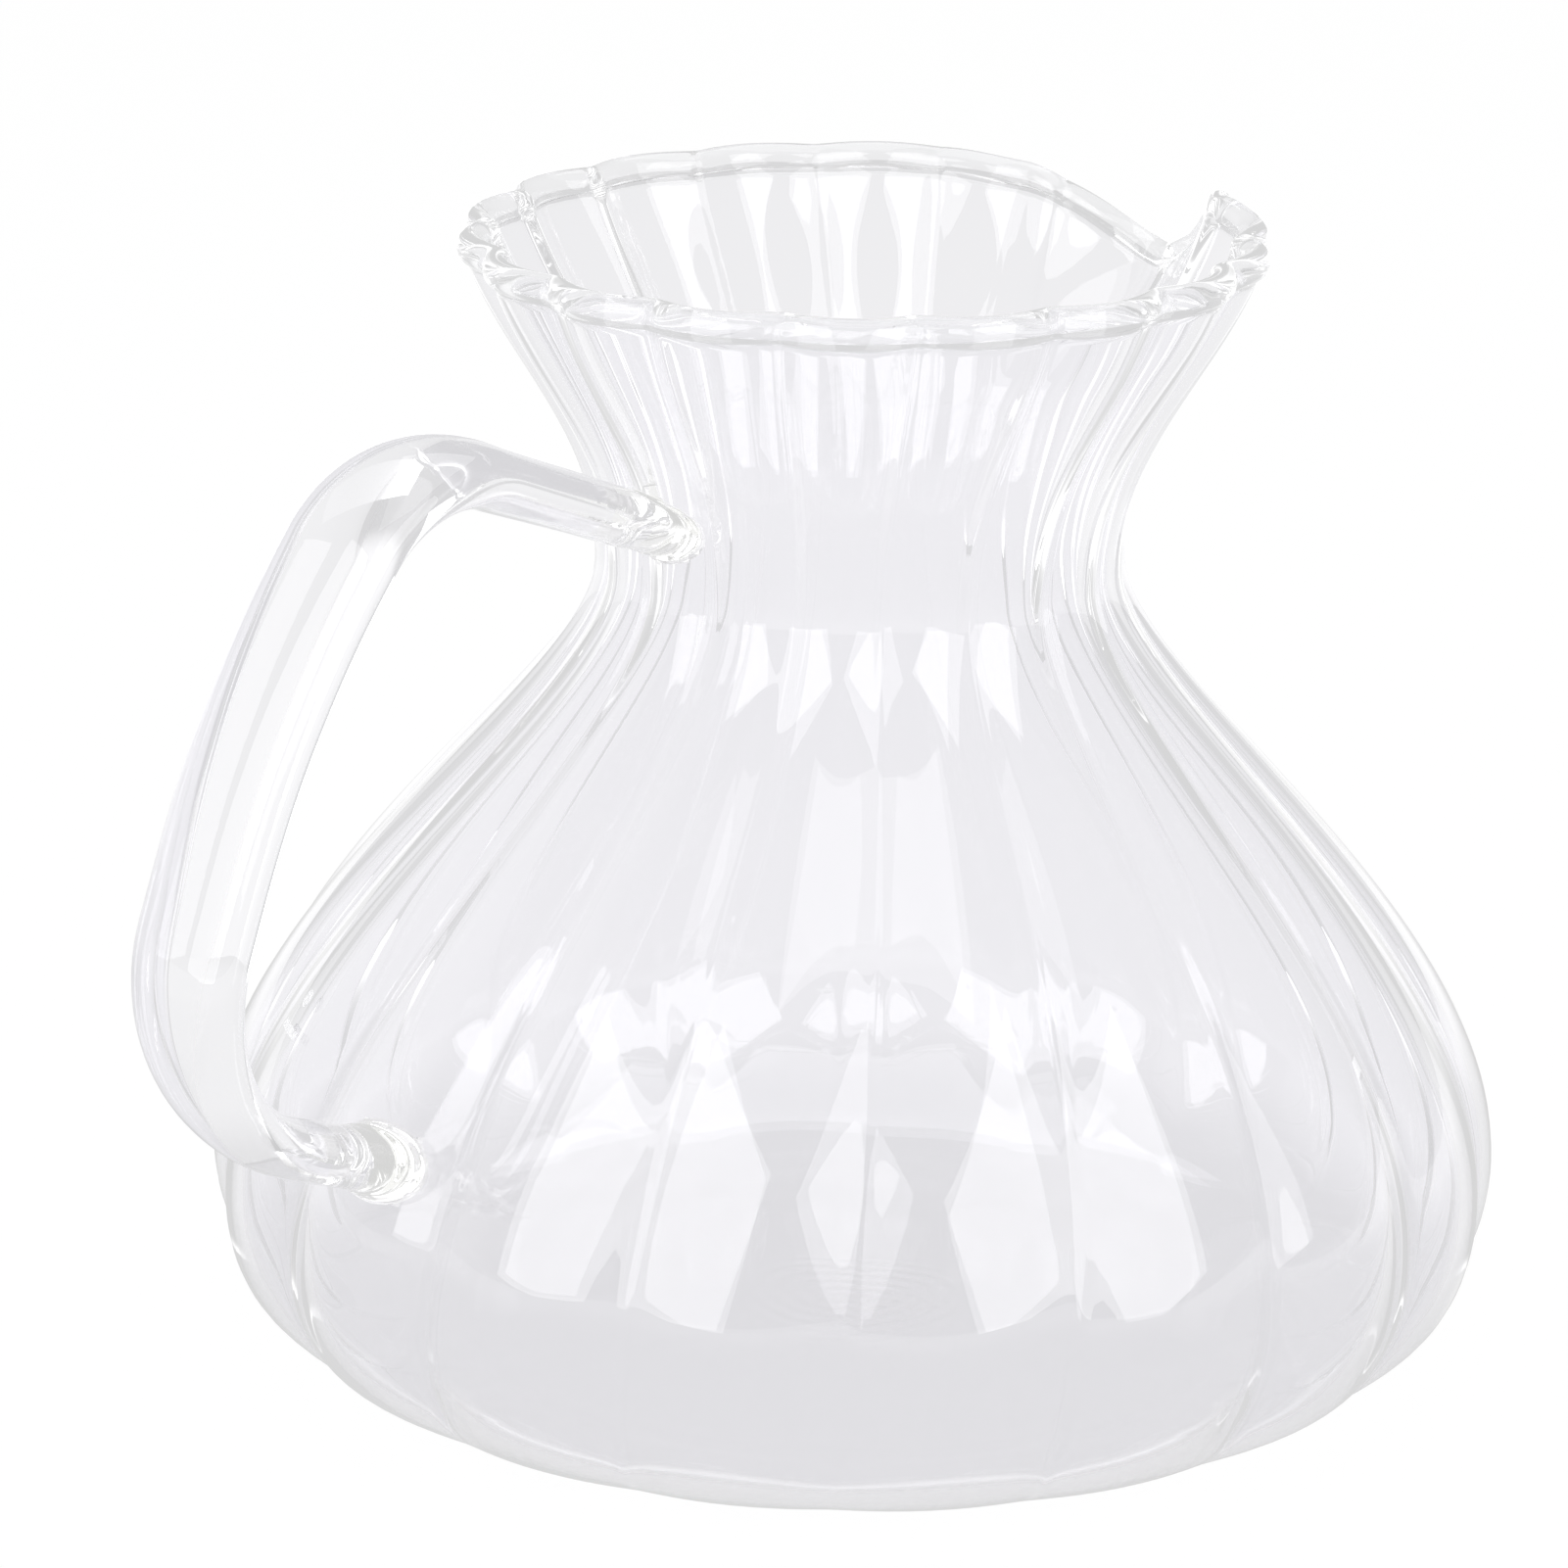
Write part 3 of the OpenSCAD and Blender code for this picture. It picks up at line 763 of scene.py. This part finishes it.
class BlowVessel(Operator):
    """Blow the fluted vessel with its rim, lip and floor"""
    bl_idname = "carafe.blow_vessel"
    bl_label = "Vessel"
    FUSED_SHARE = 0.9
    TINT_REACH = 0.005

    def execute(self, context):
        wall = Wall(context.scene.carafe_vessel)
        rod = Rod(wall, context.scene.carafe_handle)
        under, outer, bead, inner, floor = wall.rings()
        rings = under + outer + bead + inner + floor
        s = wall.s
        h = context.scene.carafe_handle
        mesh = loft("blown_vessel", rings, (0, 0, wall.FOOT_HOLLOW), (0, 0, s.floor))
        centres = np.empty(3 * len(mesh.polygons))
        mesh.polygons.foreach_get("center", centres)
        centres = centres.reshape(-1, 3)
        n = len(rings[0])
        fused = np.zeros(len(centres), dtype=bool)
        skin = np.zeros(len(centres), dtype=bool)
        skin[(len(under) + 1) * n:(len(under) + len(outer)) * n] = True
        half = np.array([h.arm_width, h.thickness]) / 2 * rod.foot()
        for seat in (rod.upper_seat, rod.lower_seat):
            x = (math.pi - np.arctan2(centres[:, 1], centres[:, 0])) % (2 * math.pi)
            x = np.where(x > math.pi, x - 2 * math.pi, x) * seat[0]
            z = centres[:, 2] - seat[1]
            reach = np.abs(x / half[0]) ** rod.SQUARENESS + np.abs(z / half[1]) ** rod.SQUARENESS
            fused |= skin & (reach < self.FUSED_SHARE)
        mesh.polygons.foreach_set("material_index", fused.astype(np.int32))
        gathered = np.zeros(len(mesh.vertices))
        first = 1 + len(under) * n
        heights = list(wall.points[:, 1])
        for i, height in enumerate(heights + [s.height] * len(bead) + heights[::-1]):
            gathered[first + i * n:first + (i + 1) * n] = ease(1 - (s.height - height) / self.TINT_REACH)
        mesh.attributes.new("gathered", "FLOAT", "POINT").data.foreach_set("value", gathered)
        place("blown_vessel", mesh, (blown_glass(), fused_joint()), ("vessel",))
        return {"FINISHED"}


class DrawHandle(Operator):
    """Draw and bend the flattened glass rod"""
    bl_idname = "carafe.draw_handle"
    bl_label = "Handle"

    def execute(self, context):
        rod = Rod(Wall(context.scene.carafe_vessel), context.scene.carafe_handle)
        rings = rod.rings()
        ends = rod.path[0] - rod.upper_way * rod.LAP, rod.path[-1] - rod.lower_way * rod.LAP
        first, last = (np.array([-p[0], 0, p[1]]) for p in ends)
        mesh = loft("drawn_handle", rings, first, last, ("first", "last"), (0, len(rings) - 1))
        place("drawn_handle", mesh, (rod_glass(), fused_joint()), ("handle",))
        return {"FINISHED"}


class FuseGathers(Operator):
    """Fuse the two gathers between the rod and the wall"""
    bl_idname = "carafe.fuse_gathers"
    bl_label = "Gathers"

    def execute(self, context):
        rod = Rod(Wall(context.scene.carafe_vessel), context.scene.carafe_handle)
        finish, joint = weld_glass(), fused_joint()
        for name, node, seat, way in (("upper_gather", "upper_weld", rod.upper_seat, rod.upper_way),
                                      ("lower_gather", "lower_weld", rod.lower_seat, rod.lower_way)):
            body, sunk, first, last = rod.gather(seat, way)
            edge = len(body) - 1
            hidden = ("first", "last", *range(edge, edge + len(sunk)))
            mesh = loft(name, body + sunk, first, last, hidden, (0, edge))
            place(name, mesh, (finish, joint), (node,))
        return {"FINISHED"}


class FireMark(Operator):
    """Fire a small plain level mark on the belly: a dot over a short bar"""
    bl_idname = "carafe.fire_mark"
    bl_label = "Level mark"
    TURN = math.radians(157)
    HEIGHT = 0.0345
    WALL_RADIUS = 0.0525
    DOT = (0, 0.0021), (0.0007, 0.0007)
    BAR = (0, -0.0006), (0.0022, 0.00035)
    ABOVE, BELOW = 0.00004, -0.00003
    SIDES = 24
    ROUND, SQUARE = 2, 6

    def execute(self, context):
        wall = Wall(context.scene.carafe_vessel)
        points, faces = [], []
        n = self.SIDES
        for (x, z), (wide, tall) in (self.DOT, self.BAR):
            o = superellipse(n, wide, tall, self.ROUND if wide == tall else self.SQUARE)
            first = len(points)
            for lift, rings in ((self.ABOVE, (0.5, 1)), (self.BELOW, (1, 0.5))):
                for k in rings:
                    p = wall.skin(self.TURN + (x + o[:, 0] * k) / self.WALL_RADIUS, self.HEIGHT + z + o[:, 1] * k)
                    away = p * np.array([1, 1, 0])
                    points += list(p + away / np.linalg.norm(away, axis=1, keepdims=True) * lift)
            for j in range(3):
                for i in range(n):
                    q = first + j * n
                    faces.append((q + i, q + n + i, q + n + (i + 1) % n, q + (i + 1) % n))
            faces.append([first + i for i in range(n)])
            faces.append([first + 3 * n + i for i in reversed(range(n))])
        mesh = bpy.data.meshes.new("level_mark")
        mesh.from_pydata([tuple(p) for p in points], [], faces)
        mesh.update()
        place("level_mark", mesh, (fired_enamel(),))
        return {"FINISHED"}


class SetStage(Operator):
    """Set the pale table, the room, three softboxes and the camera"""
    bl_idname = "carafe.set_stage"
    bl_label = "Stage"
    TABLE_HEIGHT = -0.00002
    TABLE_SIDES = 96
    MIRROR_FROM, MIRROR_TO = 0.09, 0.4
    CEILING_FROM = 0.8
    FRONT_TO, BEHIND_FROM = 0.25, -0.75
    CARD_EDGE, CARD_FULL = 0.8, 0.95
    SENSOR_WIDTH = 36

    def execute(self, context):
        s = context.scene.carafe_studio
        self.table(s)
        back = Vector((math.sin(s.view_turn), -math.cos(s.view_turn), 0))
        side = Vector((math.cos(s.view_turn), math.sin(s.view_turn), 0))
        self.room(context, s, back, side)
        for name, turn, roll in (("softbox_left", s.left_turn, s.left_roll),
                                 ("softbox_right", s.right_turn, s.right_roll)):
            level = back * math.cos(turn) + side * math.sin(turn)
            away = level * math.cos(s.lamp_lift) + Vector((0, 0, math.sin(s.lamp_lift)))
            turned = away.to_track_quat("Z", "Y").to_matrix().to_4x4() @ Matrix.Rotation(roll, 4, "Z")
            at = Matrix.Translation(away * s.lamp_distance) @ turned
            self.softbox(context, name, (s.lamp_width, s.lamp_height), s.lamp_radiance, at)
        top = Matrix((side, -back, (0, 0, 1))).transposed().to_4x4()
        over = Matrix.Translation(side * s.top_side - back * s.top_back + Vector((0, 0, s.top_height)))
        self.softbox(context, "softbox_top", (s.top_width, s.top_length), s.top_radiance, over @ top)
        context.scene.view_settings.view_transform = "Standard"
        camera = bpy.data.cameras.new("view")
        camera.lens = s.lens
        camera.sensor_width = self.SENSOR_WIDTH
        seen = bpy.data.objects.new("view", camera)
        context.scene.collection.objects.link(seen)
        back = (back * math.cos(s.view_lift) + Vector((0, 0, math.sin(s.view_lift)))).normalized()
        up = back.cross(side).normalized()
        right = side * math.cos(s.view_roll) + up * math.sin(s.view_roll)
        up = back.cross(right)
        at = side * s.aim_side + Vector((0, 0, s.aim_height)) + back * s.view_distance
        seen.matrix_world = Matrix.Translation(at) @ Matrix((right, up, back)).transposed().to_4x4()
        context.scene.camera = seen
        return {"FINISHED"}

    def softbox(self, context, name, sizes, radiance, at):
        lamp = bpy.data.lights.new(name, "AREA")
        lamp.shape = "RECTANGLE"
        lamp.size, lamp.size_y = sizes
        lamp.energy = radiance * math.pi * sizes[0] * sizes[1]
        held = bpy.data.objects.new(name, lamp)
        context.scene.collection.objects.link(held)
        held.matrix_world = at
        held.visible_camera = False

    def table(self, s):
        turns = [2 * math.pi * i / self.TABLE_SIDES for i in range(self.TABLE_SIDES)]
        points = [(s.table_radius * math.cos(a), s.table_radius * math.sin(a), self.TABLE_HEIGHT) for a in turns]
        mesh = bpy.data.meshes.new("table")
        mesh.from_pydata(points, [], [list(range(self.TABLE_SIDES))])
        material, tree, out = new_material("pale_table")
        matt = tree.nodes.new("ShaderNodeBsdfDiffuse")
        matt.inputs["Color"].default_value = (*s.table_colour, 1)
        glow = tree.nodes.new("ShaderNodeEmission")
        path = tree.nodes.new("ShaderNodeLightPath")
        either = tree.nodes.new("ShaderNodeMixShader")
        shown = maths(tree, "MULTIPLY", path.outputs["Is Camera Ray"], s.table_glow)
        away = tree.nodes.new("ShaderNodeVectorMath")
        away.operation = "LENGTH"
        tree.links.new(tree.nodes.new("ShaderNodeTexCoord").outputs["Object"], away.inputs[0])
        shown = maths(tree, "MULTIPLY_ADD", path.outputs["Is Transmission Ray"], s.through_glow, shown)
        mirrored = maths(tree, "GREATER_THAN", path.outputs["Is Glossy Ray"], path.outputs["Is Transmission Ray"])
        tree.links.new(maths(tree, "ADD", mirrored, shown), either.inputs[0])
        # Painted shade and painted glow, for reflected rays only: the table's glow is darker near the carafe and
        # brighter than white farther off
        mirrored_shade_and_glow = ranged(tree, away.outputs["Value"], self.MIRROR_FROM, self.MIRROR_TO, s.mirrored_painted_shade, s.mirrored_painted_glow)
        # Painted shadow seen through the glass: the table's glow is darker under the carafe and rises to an even level
        # farther off
        through = ranged(tree, away.outputs["Value"], s.painted_shadow_radius, s.clear_radius, s.through_painted_shadow, s.through_away)
        level = maths(tree, "SUBTRACT", through, 1.0)
        level = maths(tree, "MULTIPLY_ADD", path.outputs["Is Transmission Ray"], level, 1.0)
        level = maths(tree, "MULTIPLY_ADD", mirrored, maths(tree, "SUBTRACT", mirrored_shade_and_glow, 1.0), level)
        tree.links.new(level, glow.inputs["Strength"])
        tree.links.new(matt.outputs[0], either.inputs[1])
        tree.links.new(glow.outputs[0], either.inputs[2])
        tree.links.new(either.outputs[0], out.inputs["Surface"])
        floor = bpy.data.objects.new("table", mesh)
        bpy.context.scene.collection.objects.link(floor)
        mesh.materials.append(material)

    def room(self, context, s, back, side):
        """White to the camera. In the glass, a grey room in front that grows into the white backdrop behind, and a
        white card on the left."""
        world = bpy.data.worlds.new("room")
        context.scene.world = world
        world.use_nodes = True
        tree = world.node_tree
        tree.nodes.clear()
        out = tree.nodes.new("ShaderNodeOutputWorld")
        shine = tree.nodes.new("ShaderNodeBackground")
        tree.links.new(shine.outputs[0], out.inputs[0])
        way = tree.nodes.new("ShaderNodeTexCoord").outputs["Generated"]
        facing = back * math.cos(s.side_turn) + side * math.sin(s.side_turn)
        facing = facing * math.cos(s.side_lift) + Vector((0, 0, math.sin(s.side_lift)))
        toward, card = (self.along(tree, way, aim) for aim in (back, facing))
        apart = tree.nodes.new("ShaderNodeSeparateXYZ")
        tree.links.new(way, apart.inputs[0])
        front = ranged(tree, apart.outputs[2], 0.0, self.CEILING_FROM, s.front_grey, s.ceiling)
        behind = ranged(tree, toward, self.BEHIND_FROM, self.FRONT_TO, 1, 0)
        level = maths(tree, "MULTIPLY_ADD", maths(tree, "SUBTRACT", s.back_white, front), behind, front)
        level = maths(tree, "ADD", level, ranged(tree, card, self.CARD_EDGE, self.CARD_FULL, 0, s.side_fill))
        camera = tree.nodes.new("ShaderNodeLightPath").outputs["Is Camera Ray"]
        tree.links.new(maths(tree, "MAXIMUM", level, camera), shine.inputs["Strength"])

    def along(self, tree, way, aim):
        """How far a direction points the way of another."""
        node = tree.nodes.new("ShaderNodeVectorMath")
        node.operation = "DOT_PRODUCT"
        node.inputs[1].default_value = aim
        tree.links.new(way, node.inputs[0])
        return node.outputs["Value"]


class CarafePanel(Panel):
    """Sizes, finish and making of the carafe"""
    bl_idname = "VIEW3D_PT_carafe"
    bl_label = "Coffee server"
    bl_space_type = "VIEW_3D"
    bl_region_type = "UI"
    bl_category = "Carafe"

    def draw(self, context):
        for title, group_of in zip(("Vessel", "Handle", "Finish", "Stage"), GROUPS):
            box = self.layout.box()
            box.label(text=title)
            values = getattr(context.scene, group_of)
            for name in values.__annotations__:
                box.prop(values, name)
        for maker in MAKERS:
            self.layout.operator(maker.bl_idname)


GROUPS = {"carafe_vessel": CarafeVessel, "carafe_handle": CarafeHandle,
          "carafe_finish": CarafeFinish, "carafe_studio": CarafeStudio}
MAKERS = (BlowVessel, DrawHandle, FuseGathers, FireMark, SetStage)


def register():
    for made in (*GROUPS.values(), *MAKERS, CarafePanel):
        bpy.utils.register_class(made)
    for name, made in GROUPS.items():
        setattr(bpy.types.Scene, name, PointerProperty(type=made))


def unregister():
    for name in GROUPS:
        delattr(bpy.types.Scene, name)
    for made in reversed((*GROUPS.values(), *MAKERS, CarafePanel)):
        bpy.utils.unregister_class(made)


def main():
    register()
    bpy.ops.carafe.blow_vessel()
    bpy.ops.carafe.draw_handle()
    bpy.ops.carafe.fuse_gathers()
    bpy.ops.carafe.fire_mark()
    bpy.ops.carafe.set_stage()
    bpy.context.view_layer.update()


if __name__ == "__main__":
    main()
